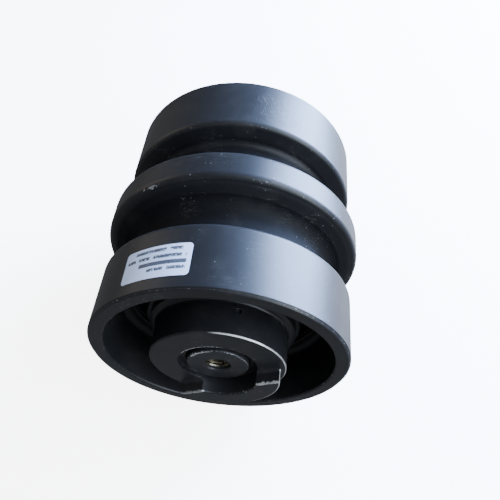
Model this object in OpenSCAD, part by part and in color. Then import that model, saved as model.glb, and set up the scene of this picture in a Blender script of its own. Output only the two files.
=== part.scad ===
// Triple-flange bottom track roller for a compact track loader.
// The roller axis lies along Y, the near end faces -Y, and the origin is the middle of the roller.
// The shell turns on a fixed shaft. Two end collars, pinned to the shaft, bolt to the track frame.

/* [Roller shell] */
// Outer radius of the two treads
tread_r = 105; // [95:1:115]
// Width of the shell over both rims
shell_w = 218.5; // [212:0.5:230]
// Width of each tread ring
tread_w = 56.5; // [50:0.5:58]
// Radius of the middle flange
flange_r = 111.4; // [108:0.2:116]
// Width of the middle flange over its rounded edges
flange_w = 28; // [24:0.2:32]
// Radius of the barrel at the bottom of the two grooves
barrel_r = 84; // [82:0.5:88]
// Radius of the mouth of each end cavity
mouth_r = 92.6; // [91:0.2:96]
// Depth of each end cavity, from the rim to its web
cavity_depth = 45; // [42:0.5:47]

/* [End collars] */
// Outer radius of the collar body
collar_r = 55; // [54:0.2:56]
// How far the collar's main face stands proud of the rim
collar_proud = 5; // [3:0.5:8]
// Radius of the dust lip at the back of the collar
lip_r = 60.7; // [58:0.1:62]
// Depth of the front of the dust lip below the rim
lip_depth = 24; // [23:0.5:25]
// Radius of the counterbore around the shaft end
counterbore_r = 32; // [30:0.5:34]
// Outer radius of the locating lug
lug_r = 50.4; // [49:0.2:52.6]
// Height of the locating lug above the main face
lug_h = 11.5; // [8:0.5:16]
// Distance of the lug's flats from the roller axis
lug_flat = 19.5; // [15:0.5:24]
// Turn of the lug's flats about the axis, in degrees
lug_turn = 32; // [0:1:60]

/* [Shaft] */
// Radius of the shaft
shaft_r = 25; // [24.5:0.1:25.5]
// Radius of the mounting bolt's hole in each shaft end
bolt_r = 10; // [8:0.5:10]
// Depth of each mounting bolt's hole
bolt_depth = 40; // [30:1:45]
// Radius of the pin that locks each collar to the shaft
pin_r = 2.25; // [2:0.25:3.5]

/* [Label] */
// Length of the label round the tread
label_l = 54.5; // [40:0.5:70]
// Width of the label along the axis
label_w = 27; // [20:0.5:32]
// Turn of the label's middle from the top, in degrees
label_turn = 28; // [0:1:60]

/* [Hidden] */
$fn = 96;

// Distances called s are measured from the middle of the roller towards one end.
rim_s = shell_w / 2;
ring_s = rim_s - tread_w;
web_s = rim_s - cavity_depth;
face_s = rim_s + collar_proud;

// Shell details
rim_bevel = 2;
mouth_round = 2;
tread_round = 4.5;
flange_round = 5;
flange_draft = 3.2;
tread_draft = 1.5;
tread_fillet = 6;
flange_fillet = 10;
cavity_draft = 2.6;
cavity_fillet = 7;
recess_depth = 60;
recess_s = rim_s - recess_depth;
recess_r = 79.5;
recess_lip = 3.5;
recess_step = 1.5;
recess_bevel = 1;
recess_fillet = 5;
hub_r = 65;
hub_draft = 1.5;
hub_bevel = 1.5;

// Dust lip and the labyrinth gap behind it
lip_s = rim_s - lip_depth;
lip_t = 6;
lip_back_s = lip_s - lip_t;
labyrinth_gap = 1.5;
hub_s = lip_back_s - labyrinth_gap;

// Bushings: a sleeve pressed into the shell with a thrust flange at its outer end
running_gap = 0.05;
thrust_gap = 0.15;
bushing_r = 29.5;
bushing_inner_s = 26;
bushing_flange_r = 35.5;
seat_depth = 42;
seat_s = rim_s - seat_depth;
bushing_flange_t = 4;
thrust_s = seat_s + bushing_flange_t;
oil_chamber_r = 40;
oil_chamber_s = 24;

// Face seals: two lapped rings pressed together by two rubber torics
seal_pocket_r = 50;
seal_s = lip_back_s - labyrinth_gap / 2;
seal_face_gap = 0.1;
seal_bore_r = 37.5;
seal_face_r = 47;
seal_neck_r = 42.2;
seal_head = 2.2;
seal_back = 0.4;
seal_l = 8.6;
toric_r = (seal_pocket_r - seal_neck_r) / 2;
toric_gap = 0.05;
toric_mid_r = seal_neck_r + toric_r;
toric_mid_l = seal_head + seal_back + toric_r;

// Collar details
collar_bevel = 1;
counterbore_depth = 4.5;
counterbore_s = face_s - counterbore_depth;
counterbore_fillet = 1;
collar_fit = 0.02;
collar_bore_r = shaft_r + collar_fit;
collar_bore_bevel = 1.5;
nose_r = 34;
collar_pocket_l = 10.7;
collar_pocket_s = seal_s + collar_pocket_l;
lip_fillet = 2.5;
lip_bevel = 3;
lug_s = face_s + lug_h;
lug_round = 0.8;
lug_inner_round = 1.6;
lug_fillet = 3;
oring_depth = 6;
oring_s = rim_s - oring_depth;
oring_r = 1.48;
oring_groove_w = 4;
oring_groove_h = 3;
oring_groove_r = shaft_r + oring_groove_h;

// Shaft details
shaft_round = 1.5;
shaft_relief = 1;
shaft_relief_s = 22;
bolt_bevel = 1;
plug_r = 6.5;
plug_l = 12;
plug_socket_r = 3.5;
plug_socket_depth = 6;
gallery_r = 4;
cross_hole_r = 3;

// Lock pin: it goes through the collar wall and stops short of the bolt's hole
pin_depth = 15.6;
pin_s = rim_s - pin_depth;
pin_from_lug = 45.5;
pin_turn = lug_turn + pin_from_lug;
pin_inner_r = 12.5;
pin_sink = 1.2;
pin_outer_r = collar_r - pin_sink;
pin_fit = 0.02;
pin_body_r = pin_r - pin_fit;
pin_bevel = 0.6;

label_t = 0.2;
label_corner = 3;
label_depth = 24.4;
label_mid_s = rim_s - label_depth;

// Points of an arc about (r, s), from angle a to angle b, in n steps
function arc(r, s, radius, a, b, n = 6) =
  [for (i = [0:n]) [r + radius * cos(a + (b - a) * i / n), s + radius * sin(a + (b - a) * i / n)]];

// The near end, with local z as the distance s towards -Y and local y up
module near_end() {
  rotate([90, 0, 0]) children();
}

// The far end holds the same parts, turned over about the middle line of the lug
module far_end() {
  rotate(a = 180, v = [sin(lug_turn), 0, -cos(lug_turn)]) near_end() children();
}

// Turn of a side wall that leaves a corner and runs smoothly into an arc,
// whose centre is dr inwards and ds across from that corner
function side_turn(dr, ds, radius) = atan2(ds, dr) - asin(radius / norm([dr, ds]));

// The same points [r, s] at the other end, in reverse order
function other_end(points) = [for (i = [len(points) - 1:-1:0]) [points[i][0], -points[i][1]]];

// Deep cavity in each end: the hub, the recess, the web and the flared wall
function cavity_outline() = concat(
  [[hub_r - hub_bevel, hub_s], [hub_r, hub_s - hub_bevel], [hub_r + hub_draft, recess_s]],
  arc(recess_r - recess_step - recess_fillet, recess_s + recess_fillet, recess_fillet, -90, 0),
  [[recess_r - recess_step, web_s - recess_lip], [recess_r, web_s - recess_lip]],
  [[recess_r, web_s - recess_bevel], [recess_r + recess_bevel, web_s]],
  arc(mouth_r - cavity_draft - cavity_fillet, web_s + cavity_fillet, cavity_fillet, -90, 0),
  arc(mouth_r + mouth_round, rim_s - mouth_round, mouth_round, 180, 90, 4)
);

// Groove between a tread and the middle flange, with a fillet on either side
function groove_outline() = let (
  tread_r1 = barrel_r + tread_fillet,
  tread_s1 = ring_s - tread_draft - tread_fillet,
  tread_turn = side_turn(tread_r - tread_round - tread_r1, ring_s - tread_s1, tread_fillet),
  flange_r1 = barrel_r + flange_fillet,
  flange_s1 = flange_w / 2 + flange_draft + flange_fillet,
  flange_turn = side_turn(flange_r - flange_round - flange_r1, flange_s1 - flange_w / 2, flange_fillet)
) concat(
  arc(tread_r1, tread_s1, tread_fillet, 90 - tread_turn, 180),
  arc(flange_r1, flange_s1, flange_fillet, 180, 270 + flange_turn, 8)
);

// Outline of one half of the shell, as points [r, s], from the bore round the outside
function shell_outline() = concat(
  [[bushing_r, oil_chamber_s], [bushing_r, seat_s], [seal_pocket_r, seat_s], [seal_pocket_r, hub_s]],
  cavity_outline(),
  [[tread_r - rim_bevel, rim_s], [tread_r, rim_s - rim_bevel]],
  arc(tread_r - tread_round, ring_s + tread_round, tread_round, 0, -90),
  groove_outline(),
  arc(flange_r - flange_round, flange_w / 2 - flange_round, flange_round, 90, 0)
);

// Forged shell: two treads, the middle flange, two grooves and two deep end cavities
module roller_shell() {
  color([0.07, 0.07, 0.08]) near_end() rotate_extrude($fn = 180) polygon(concat(
    shell_outline(), other_end(shell_outline()),
    [[oil_chamber_r, -oil_chamber_s], [oil_chamber_r, oil_chamber_s]]
  ));
}

// Blank label, with round corners, wrapped on the near tread
module label_outline() {
  square([label_l - 2 * label_corner, label_w], center = true);
  square([label_l, label_w - 2 * label_corner], center = true);
  for (x = [-1, 1], y = [-1, 1])
    translate([x * (label_l / 2 - label_corner), y * (label_w / 2 - label_corner)])
      circle(label_corner, $fn = 32);
}

module label() {
  color([0.92, 0.93, 0.95]) rotate([0, -label_turn, 0]) intersection() {
    near_end() difference() {
      cylinder(r = tread_r + label_t, h = rim_s, $fn = 180);
      translate([0, 0, -1]) cylinder(r = tread_r, h = rim_s + 2, $fn = 180);
    }
    translate([0, -label_mid_s, tread_r - 10]) linear_extrude(20) label_outline();
  }
}

// Flanged bimetal bushing, pressed into the shell's hub
module bushing() {
  color([0.72, 0.53, 0.27]) rotate_extrude() polygon([
    [shaft_r + running_gap, bushing_inner_s], [shaft_r + running_gap, thrust_s],
    [bushing_flange_r, thrust_s], [bushing_flange_r, seat_s],
    [bushing_r, seat_s], [bushing_r, bushing_inner_s]
  ]);
}

// Lapped seal ring: its face points up the local z axis, and its neck carries the toric
module seal_ring() {
  color([0.6, 0.6, 0.62]) rotate_extrude() polygon([
    [seal_bore_r, 0], [seal_face_r, 0], [seal_face_r, -seal_head],
    [seal_neck_r, -seal_head - seal_back], [seal_neck_r, -seal_l], [seal_bore_r, -seal_l]
  ]);
}

module toric() {
  color([0.05, 0.05, 0.05]) rotate_extrude()
    translate([toric_mid_r, -toric_mid_l]) circle(toric_r - toric_gap, $fn = 32);
}

// Seal parts on the shell's side, whose sealing face looks outwards
module turning_side() {
  translate([0, 0, seal_s - seal_face_gap / 2]) children();
}

// Seal parts on the collar's side, whose sealing face looks inwards
module fixed_side() {
  translate([0, 0, seal_s + seal_face_gap / 2]) mirror([0, 0, 1]) children();
}

// The region beyond the lug's flats, drawn with the flats facing up, before the turn
module lug_outline() {
  translate([-collar_r - 5, -collar_r - 5]) square([2 * collar_r + 10, collar_r + 5 - lug_flat]);
}

// Small hollow round along the foot of the lug's flats
module lug_foot() {
  translate([-collar_r, -lug_flat, face_s]) rotate([90, 0, 90])
    linear_extrude(2 * collar_r) difference() {
      translate([-1, -1]) square([lug_fillet + 1, lug_fillet + 1]);
      translate([lug_fillet, lug_fillet]) circle(lug_fillet, $fn = 32);
    }
}

// Sliver outside a rounded edge, whose round is centred at (r, s); side is 1 outwards, -1 inwards
module corner_cut(r, s, radius, side) {
  rotate_extrude($fn = 128) difference() {
    translate([r + min(0, side) * (radius + 1), s]) square(radius + 1);
    translate([r, s]) circle(radius, $fn = 32);
  }
}

// Solid of revolution that holds the whole collar, lug included, before the bores
module collar_blank() {
  rotate_extrude($fn = 128) polygon(concat(
    [[0, thrust_s + thrust_gap], [nose_r, thrust_s + thrust_gap], [nose_r, collar_pocket_s]],
    [[seal_pocket_r, collar_pocket_s], [seal_pocket_r, lip_back_s], [lip_r, lip_back_s]],
    [[lip_r, lip_s - lip_bevel / 2], [lip_r - lip_bevel, lip_s]],
    arc(collar_r + lip_fillet, lip_s + lip_fillet, lip_fillet, 270, 180, 4),
    [[collar_r, lug_s], [0, lug_s]]
  ));
}

// Everything above the main face that isn't lug
module above_main_face() {
  difference() {
    translate([0, 0, face_s]) cylinder(r = collar_r + 5, h = lug_h + 1, $fn = 128);
    intersection() {
      union() {
        translate([0, 0, face_s - 1]) linear_extrude(lug_h + 3) lug_outline();
        lug_foot();
      }
      translate([0, 0, face_s - 2]) cylinder(r = lug_r, h = lug_h + 5, $fn = 128);
    }
  }
}

// Bevel round the edge of the main face
module main_face_bevel() {
  rotate_extrude($fn = 128) polygon([
    [collar_r - collar_bevel, face_s + 0.01], [collar_r + 1, face_s + 0.01],
    [collar_r + 1, face_s - collar_bevel - 1]
  ]);
}

// Counterbore, shaft bore, seal groove and pin hole, all cut from the blank
module collar_bores() {
  rotate_extrude($fn = 128) polygon(concat(
    [[0, thrust_s], [collar_bore_r, thrust_s]],
    [[collar_bore_r, oring_s - oring_groove_w / 2], [oring_groove_r, oring_s - oring_groove_w / 2]],
    [[oring_groove_r, oring_s + oring_groove_w / 2], [collar_bore_r, oring_s + oring_groove_w / 2]],
    [[collar_bore_r, counterbore_s - collar_bore_bevel]],
    [[collar_bore_r + collar_bore_bevel, counterbore_s]],
    arc(counterbore_r - counterbore_fillet, counterbore_s + counterbore_fillet,
        counterbore_fillet, -90, 0, 4),
    [[counterbore_r, lug_s + 1], [0, lug_s + 1]]
  ));
  pin_hole(collar_r + 5);
}

module pin_hole(outer_r) {
  translate([0, 0, pin_s]) rotate([0, 0, pin_turn]) translate([pin_inner_r, 0, 0])
    rotate([0, 90, 0]) cylinder(r = pin_r, h = outer_r - pin_inner_r, $fn = 32);
}

// End collar: main face, locating lug with flats, counterbore, dust lip and seal pocket
module collar() {
  color([0.1, 0.1, 0.11]) difference() {
    collar_blank();
    corner_cut(lug_r - lug_round, lug_s - lug_round, lug_round, 1);
    corner_cut(counterbore_r + lug_inner_round, lug_s - lug_inner_round, lug_inner_round, -1);
    rotate([0, 0, lug_turn]) above_main_face();
    main_face_bevel();
    collar_bores();
  }
}

module collar_oring() {
  color([0.05, 0.05, 0.05]) translate([0, 0, oring_s]) rotate_extrude()
    translate([shaft_r + collar_fit + oring_r, 0]) circle(oring_r, $fn = 32);
}

module collar_pin() {
  color([0.35, 0.35, 0.36]) translate([0, 0, pin_s]) rotate([0, 0, pin_turn])
    translate([pin_inner_r, 0, 0]) rotate([0, 90, 0]) union() {
      cylinder(r1 = pin_body_r - pin_bevel, r2 = pin_body_r, h = pin_bevel, $fn = 32);
      translate([0, 0, pin_bevel])
        cylinder(r = pin_body_r, h = pin_outer_r - pin_inner_r - 2 * pin_bevel, $fn = 32);
      translate([0, 0, pin_outer_r - pin_inner_r - pin_bevel])
        cylinder(r1 = pin_body_r, r2 = pin_body_r - pin_bevel, h = pin_bevel, $fn = 32);
    }
}

// Outline of the whole shaft, as points [r, s] from the near end (s > 0) to the far end
function shaft_outline() = concat(
  [[0, face_s]],
  arc(shaft_r - shaft_round, face_s - shaft_round, shaft_round, 90, 0, 4),
  [[shaft_r, shaft_relief_s + shaft_relief], [shaft_r - shaft_relief, shaft_relief_s]],
  [[shaft_r - shaft_relief, -shaft_relief_s], [shaft_r, -shaft_relief_s - shaft_relief]],
  arc(shaft_r - shaft_round, shaft_round - face_s, shaft_round, 0, -90, 4),
  [[0, -face_s]]
);

// Bolt hole with a small countersink, as an outline [r, s]
function bolt_hole_outline() = [
  [0, face_s - bolt_depth], [bolt_r, face_s - bolt_depth], [bolt_r, face_s - bolt_bevel],
  [bolt_r + 2 * bolt_bevel, face_s + bolt_bevel], [0, face_s + bolt_bevel]
];

// Near bolt hole, with the plug's seat below it and the oil gallery to the middle
function gallery_outline() = concat(
  [[0, 0], [gallery_r, 0], [gallery_r, face_s - bolt_depth - plug_l]],
  [[plug_r, face_s - bolt_depth - plug_l], [plug_r, face_s - bolt_depth]],
  [for (i = [1:4]) bolt_hole_outline()[i]]
);

// Shaft, with an oil gallery from the near bolt hole to a cross hole in the middle
module shaft() {
  color([0.12, 0.12, 0.13]) difference() {
    near_end() rotate_extrude() polygon(shaft_outline());
    near_end() rotate_extrude() polygon(gallery_outline());
    far_end() rotate_extrude() polygon(bolt_hole_outline());
    near_end() pin_hole(shaft_r + 5);
    far_end() pin_hole(shaft_r + 5);
    cylinder(r = cross_hole_r, h = shaft_r + 5, $fn = 48);
  }
}

// Oil plug at the bottom of the near bolt hole, with a hexagon socket
module oil_plug() {
  color([0.55, 0.55, 0.56]) near_end() translate([0, 0, face_s - bolt_depth - plug_l]) difference() {
    cylinder(r = plug_r, h = plug_l, $fn = 48);
    translate([0, 0, plug_l - plug_socket_depth])
      cylinder(r = plug_socket_r, h = plug_socket_depth + 1, $fn = 6);
  }
}

roller_shell();
label();
near_end() bushing();  // near_bushing
far_end() bushing();  // far_bushing
near_end() turning_side() seal_ring();  // near_turning_seal
far_end() turning_side() seal_ring();  // far_turning_seal
near_end() turning_side() toric();  // near_turning_toric
far_end() turning_side() toric();  // far_turning_toric
shaft();
oil_plug();
near_end() collar();  // near_collar
far_end() collar();  // far_collar
near_end() fixed_side() seal_ring();  // near_fixed_seal
far_end() fixed_side() seal_ring();  // far_fixed_seal
near_end() fixed_side() toric();  // near_fixed_toric
far_end() fixed_side() toric();  // far_fixed_toric
near_end() collar_oring();  // near_collar_oring
far_end() collar_oring();  // far_collar_oring
near_end() collar_pin();  // near_collar_pin
far_end() collar_pin();  // far_collar_pin
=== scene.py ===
"""Looks of the track roller: a black painted shell that turns on a fixed shaft between two pinned collars."""

import math

import bmesh
import bpy
from mathutils import Matrix, Vector


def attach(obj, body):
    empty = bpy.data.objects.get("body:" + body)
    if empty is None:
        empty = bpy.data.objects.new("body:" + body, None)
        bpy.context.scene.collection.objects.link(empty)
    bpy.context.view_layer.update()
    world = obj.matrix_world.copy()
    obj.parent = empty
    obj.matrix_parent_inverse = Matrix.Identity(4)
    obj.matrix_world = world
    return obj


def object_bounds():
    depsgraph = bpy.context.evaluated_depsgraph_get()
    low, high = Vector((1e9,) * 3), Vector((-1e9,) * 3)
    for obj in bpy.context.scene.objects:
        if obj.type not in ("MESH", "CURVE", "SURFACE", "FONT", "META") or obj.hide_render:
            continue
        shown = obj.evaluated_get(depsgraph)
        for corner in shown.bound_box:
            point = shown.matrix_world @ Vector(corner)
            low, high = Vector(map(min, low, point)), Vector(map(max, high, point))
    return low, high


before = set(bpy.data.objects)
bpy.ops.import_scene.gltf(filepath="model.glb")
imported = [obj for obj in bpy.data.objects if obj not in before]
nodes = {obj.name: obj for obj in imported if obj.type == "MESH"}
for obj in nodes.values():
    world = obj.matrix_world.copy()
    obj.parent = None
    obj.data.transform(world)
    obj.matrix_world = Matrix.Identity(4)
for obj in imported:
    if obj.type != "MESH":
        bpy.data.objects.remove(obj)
cad_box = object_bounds()

MM = 0.001
ENDS = (("near", -1), ("far", 1))

# The part's measures in millimetres. R is a radius, S a distance from the middle of the roller along its axis.
TREAD_R, TREAD_SIDE_S = 105.0, 52.75
FLANGE_R, FLANGE_SIDE_S = 111.4, 14.0
MOUTH_R, RIM_S = 92.6, 109.25
COLLAR_R, COLLAR_BORE_R, FACE_S = 55.0, 32.0, 114.25
LUG_R, LUG_FLAT, LUG_END, LUG_S = 50.4, 19.5, 46.5, 125.75
LUG_TURN = math.radians(32)
SHAFT_R = 25.0

# ---------------------------------------------------------------- shader helpers


class Value:
    """A number in a shader graph, which can be used in sums like any other number."""

    def __init__(self, graph, socket):
        self.graph, self.socket = graph, socket

    def __add__(self, other):
        return self.graph.math("ADD", self, other)

    def __sub__(self, other):
        return self.graph.math("SUBTRACT", self, other)

    def __rsub__(self, other):
        return self.graph.math("SUBTRACT", other, self)

    def __mul__(self, other):
        return self.graph.math("MULTIPLY", self, other)

    __radd__ = __add__

    def abs(self):
        return self.graph.math("ABSOLUTE", self)

    def most(self, other):
        return self.graph.math("MAXIMUM", self, other)

    def step(self, start, end):
        """0 before start, 1 after end, and a smooth change between them. start may be the larger."""
        return self.graph.smooth(self, start, end)

    def near(self, centre, reach):
        """1 at centre, falling to 0 at that reach on either side."""
        return self.graph.smooth((self - centre).abs(), reach, 0.0)

    def between(self, low, high, soft):
        """1 from low to high, with ends that soft wide on either side."""
        return self.step(low - soft, low + soft) * self.step(high + soft, high - soft)


class Graph:
    """A material's node tree, with the part's own measures in millimetres and degrees.

    r is the radius, s the distance from the middle of the roller, turn the angle about the axis from the top,
    chord the distance along the lug's flats and drop the distance from the axis towards the lug.
    """

    def __init__(self, name):
        self.material = bpy.data.materials.new(name)
        self.material.use_nodes = True
        self.tree = self.material.node_tree
        self.shader = self.tree.nodes["Principled BSDF"]
        scale = self.new("ShaderNodeVectorMath")
        scale.operation = "SCALE"
        scale.inputs["Scale"].default_value = 1 / MM
        self.link(self.new("ShaderNodeTexCoord").outputs["Object"], scale.inputs[0])
        self.place = scale.outputs[0]
        split = self.new("ShaderNodeSeparateXYZ")
        self.link(self.place, split.inputs[0])
        self.x, self.y, self.z = (Value(self, split.outputs[i]) for i in range(3))
        self.r = self.math("SQRT", self.x * self.x + self.z * self.z)
        self.s = self.y.abs()
        self.turn = self.math("ARCTAN2", self.x, self.z) * (180 / math.pi)
        self.chord = self.x * math.cos(LUG_TURN) + self.z * math.sin(LUG_TURN)
        self.drop = self.x * math.sin(LUG_TURN) - self.z * math.cos(LUG_TURN)

    def new(self, kind):
        return self.tree.nodes.new(kind)

    def link(self, source, target):
        self.tree.links.new(source, target)

    def feed(self, value, socket):
        """Links a value or an output to that input, or sets a constant on it."""
        if isinstance(value, Value):
            self.link(value.socket, socket)
        elif isinstance(value, bpy.types.NodeSocket):
            self.link(value, socket)
        else:
            socket.default_value = value

    def math(self, operation, *values):
        made = self.new("ShaderNodeMath")
        made.operation = operation
        for i, value in enumerate(values):
            self.feed(value, made.inputs[i])
        return Value(self, made.outputs[0])

    def smooth(self, value, start, end):
        made = self.new("ShaderNodeMapRange")
        made.interpolation_type = "SMOOTHSTEP"
        self.feed(value, made.inputs["Value"])
        low, high = (0.0, 1.0) if start < end else (1.0, 0.0)
        made.inputs["From Min"].default_value = min(start, end)
        made.inputs["From Max"].default_value = max(start, end)
        made.inputs["To Min"].default_value = low
        made.inputs["To Max"].default_value = high
        return Value(self, made.outputs["Result"])

    def vector(self, x, y, z):
        made = self.new("ShaderNodeCombineXYZ")
        for i, value in enumerate((x, y, z)):
            self.feed(value, made.inputs[i])
        return made.outputs[0]

    def noise(self, scale, place=None, detail=2.0, rough=0.5, seed=0.0):
        """Soft noise about 0.5; scale is one over the size of its blots in millimetres."""
        made = self.new("ShaderNodeTexNoise")
        made.noise_dimensions = "4D"
        self.link(place or self.place, made.inputs["Vector"])
        made.inputs["W"].default_value = seed
        made.inputs["Scale"].default_value = scale
        made.inputs["Detail"].default_value = detail
        made.inputs["Roughness"].default_value = rough
        return Value(self, made.outputs["Fac"])

    def cells(self, scale):
        """Distance from the middle of random cells: small specks are where it is low."""
        made = self.new("ShaderNodeTexVoronoi")
        self.link(self.place, made.inputs["Vector"])
        made.inputs["Scale"].default_value = scale
        return Value(self, made.outputs["Distance"])

    def mix(self, share, a, b):
        """Colour a where share is 0 and b where it is 1."""
        made = self.new("ShaderNodeMix")
        made.data_type = "RGBA"
        self.feed(share, made.inputs["Factor"])
        for value, socket in ((a, made.inputs["A"]), (b, made.inputs["B"])):
            self.feed((*value, 1.0) if isinstance(value, tuple) else value, socket)
        return made.outputs["Result"]

    def blend(self, share, a, b):
        """Number a where share is 0 and b where it is 1."""
        made = self.new("ShaderNodeMix")
        made.data_type = "FLOAT"
        self.feed(share, made.inputs["Factor"])
        self.feed(a, made.inputs["A"])
        self.feed(b, made.inputs["B"])
        return Value(self, made.outputs["Result"])

    def soft_edges(self, radius):
        """The surface's normal with its sharp edges rounded off by that radius in millimetres."""
        made = self.new("ShaderNodeBevel")
        made.samples = 6
        made.inputs["Radius"].default_value = radius * MM
        return made.outputs["Normal"]

    def bump(self, *layers, normal=None):
        """layers are (height in millimetres, strength); the last is on top."""
        for height, strength in layers:
            made = self.new("ShaderNodeBump")
            made.inputs["Distance"].default_value = MM
            made.inputs["Strength"].default_value = strength
            self.feed(height, made.inputs["Height"])
            if normal is not None:
                self.link(normal, made.inputs["Normal"])
            normal = made.outputs["Normal"]
        self.link(normal, self.shader.inputs["Normal"])

    def set(self, **values):
        """Sets the shader's inputs by name, with _ for a space."""
        for name, value in values.items():
            socket = self.shader.inputs[name.replace("_", " ")]
            self.feed((*value, 1.0) if isinstance(value, tuple) else value, socket)


def dress(node, graph):
    """Gives a CAD node, by its name, or a piece that material."""
    o = nodes[node] if isinstance(node, str) else node
    o.data.materials.clear()
    o.data.materials.append(graph.material)


def shaded(colour, factor):
    """The colour made lighter or darker by that factor."""
    return tuple(c * factor for c in colour)


# ---------------------------------------------------------------- black paint and its wear
BLACK = (0.0100, 0.0100, 0.0112)
SHAFT_BLACK = (0.016, 0.016, 0.017)
STEEL = (0.80, 0.80, 0.78)
DUST = (0.16, 0.145, 0.125)
SPECK = (0.46, 0.45, 0.42)
PAINT_ROUGH, PAINT_SPECULAR = 0.385, 0.42
BARE_ROUGH, BARE_METALLIC = 0.45, 0.6
EDGE_ROUND = 0.7


def painted(name, bare_edges, black=BLACK, specks=1.0):
    """Satin black paint with orange peel, dust and pale specks, and bare steel where bare_edges(g) is 1."""
    g = Graph(name)
    rings = g.noise(1.0, g.vector(g.r * 2.2, g.s * 2.2, 0.0), seed=3.0)
    peel = g.noise(0.45, detail=3.0, rough=0.55)
    fine = g.noise(3.0, detail=1.0, seed=9.0)
    cloud = g.noise(0.022, detail=3.0, rough=0.6, seed=5.0)
    dust_patch = g.noise(0.05, seed=11.0).step(0.50, 0.72)

    crowd = g.noise(0.03, seed=2.0).step(0.46, 0.62) * (0.45 + g.r.step(108.0, 111.0) * 0.55)
    speck = g.cells(0.17).step(0.085, 0.05) * crowd * specks
    mote = g.cells(0.6).step(0.10, 0.05) * crowd * specks * 0.7
    grains = speck.most(mote)

    along_scratch = g.vector(g.x * 0.12 + g.s * 1.5, g.z * 0.12, g.s * 0.3)
    scratch = g.noise(1.0, along_scratch, detail=3.0, seed=8.0).near(0.5, 0.006)
    scratch = scratch * g.noise(0.04, seed=13.0).step(0.56, 0.66)

    # painted shade: the grooves and the flange's sides are made rougher and far less reflective, which darkens
    # them as their shade does
    groove_shade = g.r.step(108.5, 102.0) * g.s.step(52.0, 46.0)
    bare = bare_edges(g)

    colour = g.mix(cloud.step(0.35, 0.7) * 0.5, black, shaded(black, 1.7))
    colour = g.mix(dust_patch * 0.035, colour, DUST)
    colour = g.mix(scratch * 0.25, colour, SPECK)
    colour = g.mix(grains * 0.8, colour, SPECK)
    colour = g.mix(bare, colour, STEEL)
    rough = PAINT_ROUGH + (cloud - 0.5) * 0.06 + dust_patch * 0.04 + (fine - 0.5) * 0.05 + groove_shade * 0.22
    # groove_shade cuts the specular level to about a sixth: painted shade in the grooves
    g.set(Base_Color=colour, Metallic=bare * BARE_METALLIC, Roughness=g.blend(bare, rough, BARE_ROUGH),
          Specular_IOR_Level=g.blend(groove_shade, PAINT_SPECULAR, PAINT_SPECULAR * 0.16))
    g.bump((rings, 0.008), (peel, 0.030), (fine, 0.010), (grains, 0.05), (bare * -1.0, 0.12),
           normal=g.soft_edges(EDGE_ROUND))
    return g


def chipped(a, b, ragged, width):
    """1 within a ragged width of the edge where a and b are both 0; where ragged is low the edge is whole."""
    return (ragged.step(0.38, 0.72) * width - a.abs().most(b.abs())).step(-0.06, 0.12)


def shell_wear(g):
    """Bare steel on the shell: chips along its edges, with more on the upper left of the near rim and flange."""
    ragged = g.noise(0.35, detail=5.0, rough=0.75, seed=4.0)
    rim = chipped(g.r - (TREAD_R - 1.0), g.s - (RIM_S - 1.0), ragged - 0.17, 2.0)
    mouth = chipped(g.r - (MOUTH_R + 0.8), g.s - (RIM_S - 0.6), ragged - 0.16, 2.2)
    tread_edge = chipped(g.r - (TREAD_R - 1.4), g.s - (TREAD_SIDE_S + 1.25), ragged - 0.20, 2.2)
    flange = chipped(g.r - (FLANGE_R - 1.6), g.s - (FLANGE_SIDE_S - 1.6), ragged - 0.19, 2.4)
    flange_left = chipped(g.r - (FLANGE_R - 1.8), g.s - (FLANGE_SIDE_S - 1.7), ragged - 0.05, 2.0)
    flange_left = flange_left * g.turn.between(-43.0, -32.0, 3.0)

    rim_spots = g.noise(0.7, g.vector(g.x, g.z * 2.2, g.s), detail=4.0, rough=0.75, seed=6.0).step(0.60, 0.66)
    rim_face = g.s.near(RIM_S, 0.5) * g.r.between(95.0, 103.0, 0.5) * g.turn.between(-52.0, -22.0, 8.0)

    far_tread = g.y.between(60.0, 96.0, 6.0) * g.turn.between(4.0, 30.0, 4.0) * g.r.step(104.0, 104.6)
    along_scuff = g.vector(g.x * 0.5 + g.s * 0.2, g.z * 0.5, g.s * 0.1)
    far_scuffs = far_tread * g.noise(1.0, along_scuff, detail=4.0, seed=16.0).near(0.5, 0.012)

    chips = rim.most(mouth).most(flange).most(tread_edge)
    worn = chips.most(far_scuffs * 0.28).most(rim_face * rim_spots * 0.6)
    return (worn * 0.45).most(flange_left * 0.35)


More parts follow.
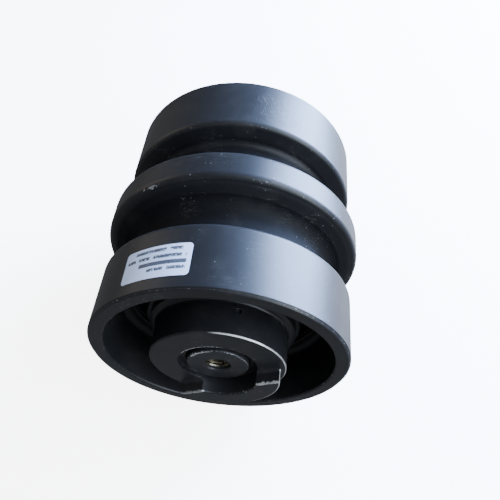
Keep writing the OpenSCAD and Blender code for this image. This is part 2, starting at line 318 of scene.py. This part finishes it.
def collar_wear(g):
    """Bare steel on a collar: a worn bright line on the main face's bevel with a painted highlight at its top
    right, and ragged edges on the lug.
    """
    ragged = g.noise(0.55, detail=5.0, rough=0.75, seed=4.0)
    patchy = ragged.step(0.34, 0.46)

    bevel_r, bevel_s = g.r - (COLLAR_R - 0.5), g.s - (FACE_S - 0.5)
    line = bevel_r.near(0.0, 0.85) * bevel_s.near(0.0, 0.95) * patchy * g.turn.between(-4.0, 104.0, 6.0)
    line = line * (g.turn.step(62.0, 44.0) * 0.4 + 0.6)
    # painted highlight: the bevel corner is made fully bare steel at turns 6 to 40, where the light falls on it
    highlight_peak = (0.52 - bevel_r.abs().most(bevel_s.abs())).step(0.0, 0.2) * g.turn.between(6.0, 40.0, 4.0)

    lug_face = chipped(g.s - LUG_S, g.drop - LUG_FLAT, ragged + 0.08, 2.2)
    lug_face = lug_face * (g.chord.step(-12.0, 12.0) * 0.65 + 0.35)
    corner = (0.95 - (g.chord - LUG_END).abs().most((g.drop - (LUG_FLAT + 0.2)).abs())).step(0.0, 0.2)
    corner = corner * g.s.step(FACE_S + 0.6, FACE_S + 1.6)

    outer_r, outer_s = g.r - (LUG_R - 0.4), g.s - (LUG_S - 0.4)
    outer_line = outer_r.near(0.0, 0.9) * outer_s.near(0.0, 0.9) * patchy * g.turn.between(72.0, 140.0, 8.0)
    outer = outer_line.most(chipped(outer_r, outer_s, ragged - 0.1, 1.8))
    inner = chipped(g.r - (COLLAR_BORE_R + 0.8), g.s - (LUG_S - 0.8), ragged - 0.1, 2.0)
    bore = chipped(g.r - COLLAR_BORE_R, g.s - FACE_S, ragged, 1.5) * g.turn.between(-62.0, 2.0, 6.0)
    return line.most(highlight_peak).most(lug_face).most(corner).most(outer * 0.9).most(inner * 0.7).most(bore)


def shaft_wear(g):
    """Bare steel on the shaft: a scuff and thin chips on the end's rounded edge, and spots on its face."""
    ragged = g.noise(0.6, detail=5.0, rough=0.75, seed=4.0)
    scuff = chipped(g.r - (SHAFT_R - 1.4), g.s - FACE_S, ragged, 1.8) * g.turn.between(-62.0, -18.0, 6.0)
    edge = chipped(g.r - (SHAFT_R - 0.4), g.s - (FACE_S - 0.4), ragged - 0.12, 1.4)
    face = g.s.near(FACE_S, 0.4) * g.r.between(12.5, 22.5, 0.5) * ragged.step(0.70, 0.74)
    return scuff.most(edge * 0.7).most(face * 0.5)


dress("roller_shell", painted("shell_paint", shell_wear))
collar_paint = painted("collar_paint", collar_wear, specks=0.5)
for end, _ in ENDS:
    dress(f"{end}_collar", collar_paint)
dress("shaft", painted("shaft_paint", shaft_wear, black=SHAFT_BLACK, specks=0.4))

# ---------------------------------------------------------------- the pieces inside


def plain_metal(name, colour, rough):
    """Bare metal with fine turning marks and darker clouds."""
    g = Graph(name)
    rings = g.noise(1.0, g.vector(g.r * 3.0, g.s * 3.0, 0.0), detail=3.0, seed=3.0)
    cloud = g.noise(0.08, detail=3.0, seed=5.0)
    g.set(Base_Color=g.mix(cloud.step(0.4, 0.7) * 0.35, colour, shaded(colour, 0.6)), Metallic=1.0,
          Roughness=(cloud - 0.5) * 0.2 + (rings - 0.5) * 0.1 + rough)
    g.bump((rings, 0.02))
    return g


def rubber(name):
    """Moulded black rubber with a fine grain."""
    g = Graph(name)
    grain = g.noise(2.5, detail=3.0)
    g.set(Base_Color=g.mix(g.noise(0.1).step(0.4, 0.7), (0.014, 0.014, 0.014), (0.028, 0.027, 0.026)),
          Roughness=grain * 0.2 + 0.5)
    g.bump((grain, 0.03))
    return g


bronze = plain_metal("bushing_bronze", (0.55, 0.33, 0.12), 0.32)
iron = plain_metal("seal_iron", (0.36, 0.36, 0.37), 0.28)
pin_steel = plain_metal("pin_steel", (0.40, 0.40, 0.41), 0.30)
plug_steel = plain_metal("plug_steel", (0.50, 0.50, 0.50), 0.35)
nitrile = rubber("seal_rubber")
for end, _ in ENDS:
    dress(f"{end}_bushing", bronze)
    for half in ("turning", "fixed"):
        dress(f"{end}_{half}_seal", iron)
        dress(f"{end}_{half}_toric", nitrile)
    dress(f"{end}_collar_oring", nitrile)
    dress(f"{end}_collar_pin", pin_steel)
dress("oil_plug", plug_steel)

# ---------------------------------------------------------------- the label
LABEL_TURN, LABEL_S = -28.0, 84.85
FILM, FILM_SHADE, INK = (0.70, 0.80, 1.0), (0.60, 0.71, 0.95), (0.02, 0.022, 0.03)
# each row's middle across the label, half height, start and end along it, and threshold: a low one is bold
PRINT_ROWS = (
    (-9.7, 1.35, -18.0, 23.0, 0.40),
    (-3.9, 1.35, -24.5, 24.0, 0.39),
    (1.6, 1.65, -13.0, 24.5, 0.31),
    (6.5, 1.3, -5.0, 24.3, 0.43),
)


def label_film():
    """Pale film with generic rows of printed marks, each a blurred row of strokes that spells nothing."""
    g = Graph("label_film")
    along = (g.turn - LABEL_TURN) * (math.pi / 180 * TREAD_R)
    across = g.s - LABEL_S
    ink = None
    for i, (row_middle, half, start, end, threshold) in enumerate(PRINT_ROWS):
        slant = along + (across - row_middle) * 0.25
        strokes = g.noise(1.0, g.vector(slant * 0.95, across * 0.5, 0.0), detail=1.0, seed=20.0 + i)
        words = g.noise(1.0, g.vector(along * 0.16, 0.0, 0.0), detail=0.0, seed=30.0 + i)
        row = across.between(row_middle - half, row_middle + half, 0.2) * along.between(start, end, 0.3)
        row = row * strokes.step(threshold - 0.02, threshold + 0.02) * words.step(0.34, 0.38)
        ink = row if ink is None else ink.most(row)
    film = g.mix(g.noise(0.06, detail=3.0, seed=7.0).step(0.35, 0.7) * 0.5, FILM, FILM_SHADE)
    g.set(Base_Color=g.mix(ink * 0.93, film, INK), Roughness=0.42)
    g.bump((g.noise(0.5), 0.03))
    return g


dress("label", label_film())

# ---------------------------------------------------------------- the bolt holes' threads
THREAD_R, ROOT_R, PITCH, SLICES = 9.97, 8.75, 2.5, 48
THREAD_START_S, THREAD_END_S = 76.0, FACE_S - 1.6


def thread(name, side):
    """Thread ridges on a bolt hole's wall, from its bottom to its countersink; side is -1 at the near end."""
    mesh = bmesh.new()
    rows = []
    turns = int((THREAD_END_S - THREAD_START_S) / PITCH)
    for i in range(turns * SLICES + 1):
        angle = 2 * math.pi * i / SLICES
        s = THREAD_START_S + PITCH * i / SLICES
        fade = min(1.0, i / SLICES, (turns * SLICES - i) / SLICES)
        crest = THREAD_R - (THREAD_R - ROOT_R) * max(fade, 0.02)
        row = []
        for r, ds in ((THREAD_R, -1.2), (crest, -0.2), (crest, 0.2), (THREAD_R, 1.2)):
            place = (r * math.sin(angle) * MM, side * (s + ds) * MM, r * math.cos(angle) * MM)
            row.append(mesh.verts.new(place))
        rows.append(row)
    for a, b in zip(rows, rows[1:]):
        for k in range(4):
            mesh.faces.new((a[k], a[(k + 1) % 4], b[(k + 1) % 4], b[k]))
    mesh.faces.new(rows[0])
    mesh.faces.new(list(reversed(rows[-1])))
    bmesh.ops.recalc_face_normals(mesh, faces=mesh.faces)
    data = bpy.data.meshes.new(name)
    mesh.to_mesh(data)
    mesh.free()
    o = bpy.data.objects.new(name, data)
    bpy.context.scene.collection.objects.link(o)
    return o


def thread_steel():
    """Cut steel with patches of old grease."""
    g = Graph("thread_steel")
    grease = g.noise(0.5, detail=3.0, seed=5.0).step(0.42, 0.62)
    g.set(Base_Color=g.mix(grease, (0.26, 0.235, 0.17), (0.03, 0.027, 0.02)), Metallic=1.0,
          Roughness=g.noise(1.5) * 0.25 + 0.22)
    g.bump((g.noise(2.0), 0.02))
    return g


cut_steel = thread_steel()
for end, side in ENDS:
    ridges = thread(f"{end}_thread", side)
    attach(ridges, "fixed_shaft")
    dress(ridges, cut_steel)

# ---------------------------------------------------------------- floor
FLOOR_SIZE, FLOOR_GREY, FLOOR_GLOW = 30, 0.86, 6.0
low, high = cad_box
middle = (low + high) / 2

bpy.ops.mesh.primitive_plane_add(size=FLOOR_SIZE, location=(0, 0, low.z))
floor = bpy.context.object
floor.name = "floor"
floor.visible_glossy = False
floor.visible_diffuse = False
paper = bpy.data.materials.new("floor_paper")
paper.use_nodes = True
paper_inputs = paper.node_tree.nodes["Principled BSDF"].inputs
paper_inputs["Base Color"].default_value = (FLOOR_GREY, FLOOR_GREY, FLOOR_GREY, 1)
paper_inputs["Roughness"].default_value = 0.9
paper_inputs["Emission Color"].default_value = (1, 1, 1, 1)
paper_inputs["Emission Strength"].default_value = FLOOR_GLOW
floor.data.materials.append(paper)

# ---------------------------------------------------------------- the studio's walls, brighter on the far right
WALL_COLOUR = (0.88, 0.93, 1.0, 1)
BASE_GLOW, SIDE_GLOW, SIDE_WAY = 0.24, 2.5, Vector((0.77, 0.62, -0.15)).normalized()
# cosines of the angle from SIDE_WAY where the glow starts and where it is full
SIDE_START, SIDE_FULL = 0.62, 0.98

world = bpy.data.worlds.new("studio")
bpy.context.scene.world = world
world.use_nodes = True
tree = world.node_tree
walls = tree.nodes["Background"]
walls.inputs["Color"].default_value = WALL_COLOUR
way = tree.nodes.new("ShaderNodeTexCoord")
toward_side = tree.nodes.new("ShaderNodeVectorMath")
toward_side.operation = "DOT_PRODUCT"
toward_side.inputs[1].default_value = SIDE_WAY
glow = tree.nodes.new("ShaderNodeMapRange")
glow.interpolation_type = "SMOOTHSTEP"
glow.inputs["From Min"].default_value = SIDE_START
glow.inputs["From Max"].default_value = SIDE_FULL
glow.inputs["To Min"].default_value = BASE_GLOW
glow.inputs["To Max"].default_value = BASE_GLOW + SIDE_GLOW
tree.links.new(way.outputs["Generated"], toward_side.inputs[0])
tree.links.new(toward_side.outputs["Value"], glow.inputs["Value"])
tree.links.new(glow.outputs["Result"], walls.inputs["Strength"])

# ---------------------------------------------------------------- lights
# name, direction from the roller, distance, width and height in metres, watts, colour
SOFTBOXES = (
    ("sky_window", (0.70, 0.59, 0.42), 1.6, 1.2, 1.2, 330, (0.40, 0.58, 1.0)),
    ("front_window", (0.66, -0.25, 0.71), 1.8, 1.7, 1.5, 65, (0.72, 0.84, 1.0)),
    ("edge_window", (0.66, -0.70, 0.28), 1.8, 0.8, 0.8, 16, (0.80, 0.88, 1.0)),
    ("warm_fill", (-0.9, 0.3, 0.35), 2.2, 1.4, 1.4, 8, (1.0, 0.88, 0.74)),
)


def softbox(name, direction, distance, width, height, power, colour):
    """A rectangular area light that faces the middle of the roller."""
    data = bpy.data.lights.new(name, "AREA")
    data.shape = "RECTANGLE"
    data.size, data.size_y = width, height
    data.energy = power
    data.color = colour
    light = bpy.data.objects.new(name, data)
    bpy.context.scene.collection.objects.link(light)
    toward = Vector(direction).normalized()
    light.location = middle + toward * distance
    light.rotation_mode = "QUATERNION"
    light.rotation_quaternion = toward.to_track_quat("Z", "Y")


for box in SOFTBOXES:
    softbox(*box)

# ---------------------------------------------------------------- camera
CAMERA_PLACE = Vector((15.24, -285.85, 394.2)) * MM
CAMERA_ELEVATION, CAMERA_ROLL = math.radians(53.82), math.radians(6.587)
CAMERA_LENS, CAMERA_SENSOR = 37.9, 36

camera_data = bpy.data.cameras.new("camera")
camera_data.sensor_width = CAMERA_SENSOR
camera_data.lens = CAMERA_LENS
camera_data.clip_start, camera_data.clip_end = 0.01, 100
camera = bpy.data.objects.new("camera", camera_data)
bpy.context.scene.collection.objects.link(camera)
back = Vector((0, -math.cos(CAMERA_ELEVATION), math.sin(CAMERA_ELEVATION)))
level_up = Vector((0, math.sin(CAMERA_ELEVATION), math.cos(CAMERA_ELEVATION)))
right = Vector((1, 0, 0)) * math.cos(CAMERA_ROLL) + level_up * math.sin(CAMERA_ROLL)
up = back.cross(right)
turned = Matrix((right, up, back)).transposed().to_4x4()
camera.matrix_world = Matrix.Translation(CAMERA_PLACE) @ turned
bpy.context.scene.camera = camera
